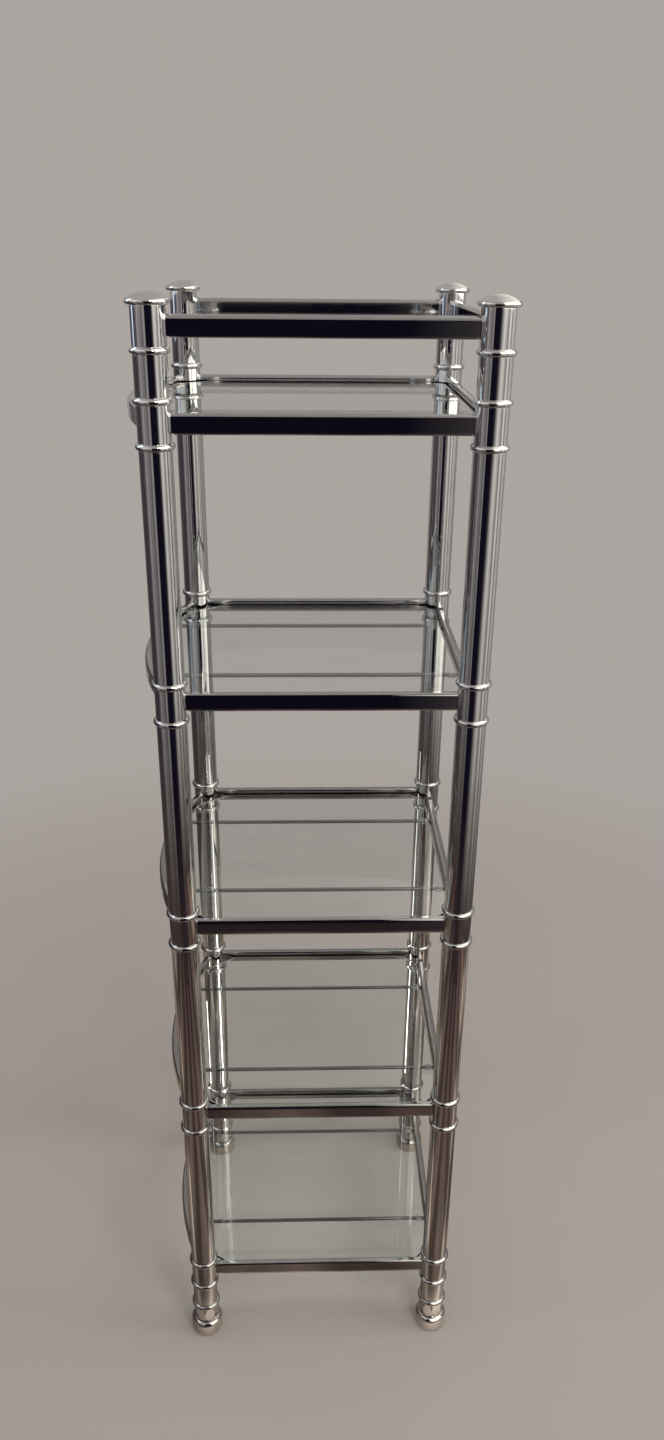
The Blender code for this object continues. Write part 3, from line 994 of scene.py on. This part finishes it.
HIGH_BANDS = [
    (20, (1.3, 1.23, 1.1)), (30, (2.6, 2.46, 2.2)), (80, (2.6, 2.46, 2.2)), (85, (4.5, 4.3, 3.9)),
    (95, (4.5, 4.3, 3.9)), (101, (2.3, 2.18, 1.95)), (112, (2.5, 2.35, 2.1)),
]
HIGH_LEFT_BANDS = [(-96, (0.75, 0.75, 0.76)), (-60, (0.95, 0.93, 0.90)), (-25, (0.55, 0.53, 0.51))]
add_band_screen("screen-left", LEFT_BANDS, 0, SCREEN_TOP, screen_material("Screen left", LEFT_BANDS))
add_band_screen("screen-right", RIGHT_BANDS, 0, SCREEN_TOP, screen_material("Screen right", RIGHT_BANDS))
add_band_screen("screen-high", HIGH_BANDS, SCREEN_TOP, HIGH_TOP, strip_material("High card", HIGH_BANDS))
high_left = strip_material("High left card", HIGH_LEFT_BANDS)
add_band_screen("screen-high-left", HIGH_LEFT_BANDS, SCREEN_TOP, SIDE_TOP, high_left)
COOL_STOPS = [
    (COOL_LOW, (0.55, 0.74, 0.95)), (1.5, (1.5, 1.8, 2.1)), (1.65, (3.0, 3.3, 3.6)),
    (SIDE_TOP, (3.4, 3.7, 4.0)),
]
cool = card_material("Cool card", "Z", COOL_STOPS)
add_screen("screen-cool", -112, -99, COOL_RADIUS, COOL_LOW, SIDE_TOP, cool)
BACK_STOPS = [(0.0, (0.15, 0.125, 0.115)), (0.3, (0.22, 0.205, 0.195)), (1.4, (0.34, 0.315, 0.30))]
back = card_material("Back card", "Z", BACK_STOPS)
add_screen("screen-back", 152, 208, SCREEN_RADIUS, 0, SCREEN_TOP, back)
strip = card_material("Strip card", "X", [(0.5, (15, 14.4, 13.2)), (0.8, (17, 16.3, 15))])
add_upright_card("card-strip", (0.5, -1.75), (0.8, -1.75), 1.56, 2.85, strip)
# Painted highlights: bright cards low down, seen in mirrors alone from below and never in glass, that widen
# the highlights on the beads and feet
LOW_STOPS = [(-0.8, (1.7, 1.6, 1.42)), (-0.1, (1.6, 1.5, 1.33))]
low_glow = card_material("Low card", "Y", LOW_STOPS, in_glass=False, from_above=False)
for height in LOW_HEIGHTS:
    edges = ((LOW_NEAR, height), (LOW_FAR, height))
    add_round_card("screen-low-%d" % round(height * 100), 20, 85, LEVEL_STRIDE, edges, low_glow)

STREAK_STOPS = [
    (0.04, (6.0, 5.9, 5.6)), (0.34, (6.0, 5.9, 5.6)), (0.45, (2.6, 2.6, 2.5)), (0.72, (0.8, 0.8, 0.8)),
]
streak = streak_material("Streak", STREAK_STOPS)
add_streak("streak-bl-right", "bl", 43, 0.04, 0.72, streak)
add_streak("streak-bl-left", "bl", -97, 0.11, 0.28, streak)
add_streak("streak-br-left", "br", -87, 0.13, 0.72, streak)

# Painted shade: a dark card in front, seen in mirrors alone, darkening what the chrome reflects straight
# ahead
DARK_STOPS = [
    (-0.32, (0.10, 0.09, 0.095)), (-0.29, NIGHT), (0.16, NIGHT), (0.26, (0.05, 0.043, 0.048)),
    (0.36, (0.16, 0.148, 0.145)),
]
add_upright_card("card-front", (-0.32, -0.86), (0.36, -0.86), 0.05, 1.46, dark_card_material(DARK_STOPS))
add_level_card("card-floor", (-1.6, -1.25), (1.6, 0.7), FLOOR_CARD_Z, floor_card_material())
CEILING_STOPS = [
    (-1.5, (0.44, 0.42, 0.40)), (0.15, (0.48, 0.455, 0.43)), (0.7, (0.95, 0.90, 0.82)),
    (1.5, (1.3, 1.22, 1.1)),
]
ceiling = card_material("Ceiling card", "X", CEILING_STOPS)
add_level_card("card-ceiling", (-1.5, -1.5), (1.5, 3.0), CEILING_Z, ceiling)

add_lamp("lamp-right-front", (0.75, -1.35, 1.95), (0, -0.1, 0.9), 0.55, 0.8, 12, (1.0, 0.96, 0.90))
add_lamp("lamp-right", (1.55, -0.25, 1.95), (0, 0, 0.9), 0.6, 0.8, 12, (1.0, 0.97, 0.93))
add_lamp("lamp-left", (-1.6, -0.35, 1.9), (0, 0, 0.9), 0.28, 0.7, 4, (0.80, 0.90, 1.0))
add_lamp("lamp-top", (0.0, -0.2, 3.0), (0, 0, 0), 1.8, 1.8, 24, (1.0, 0.99, 0.97))

world = bpy.data.worlds.new("World")
bpy.context.scene.world = world
world.use_nodes = True
sky = world.node_tree.nodes["Background"]
sky.inputs["Color"].default_value = (*BACKGROUND, 1.0)
sky.inputs["Strength"].default_value = 1.0

# Camera, at the photograph's place and angle
CAMERA_PLACE = Vector((-0.00969, -1.14782, 1.36977))
CAMERA_PITCH = math.radians(24.319)
CAMERA_YAW = math.radians(1.827)
CAMERA_ROLL = math.radians(-0.541)
FOCAL_PIXELS = 1048.96
FRAME_HEIGHT = 1440
SENSOR = 36

look = Vector((math.sin(CAMERA_YAW) * math.cos(CAMERA_PITCH), math.cos(CAMERA_YAW) * math.cos(CAMERA_PITCH),
               -math.sin(CAMERA_PITCH)))
across = Vector((math.cos(CAMERA_YAW), -math.sin(CAMERA_YAW), 0))
down = look.cross(across)
right = across * math.cos(CAMERA_ROLL) + down * math.sin(CAMERA_ROLL)
lower = down * math.cos(CAMERA_ROLL) - across * math.sin(CAMERA_ROLL)
camera_data = bpy.data.cameras.new("Camera")
camera_data.sensor_width = SENSOR
camera_data.lens = FOCAL_PIXELS / FRAME_HEIGHT * SENSOR
camera = bpy.data.objects.new("Camera", camera_data)
axes = Matrix((right, -lower, -look)).transposed().to_4x4()
camera.matrix_world = Matrix.Translation(CAMERA_PLACE) @ axes
bpy.context.scene.collection.objects.link(camera)
bpy.context.scene.camera = camera
bpy.context.scene.view_settings.view_transform = "Standard"

bpy.context.view_layer.update()
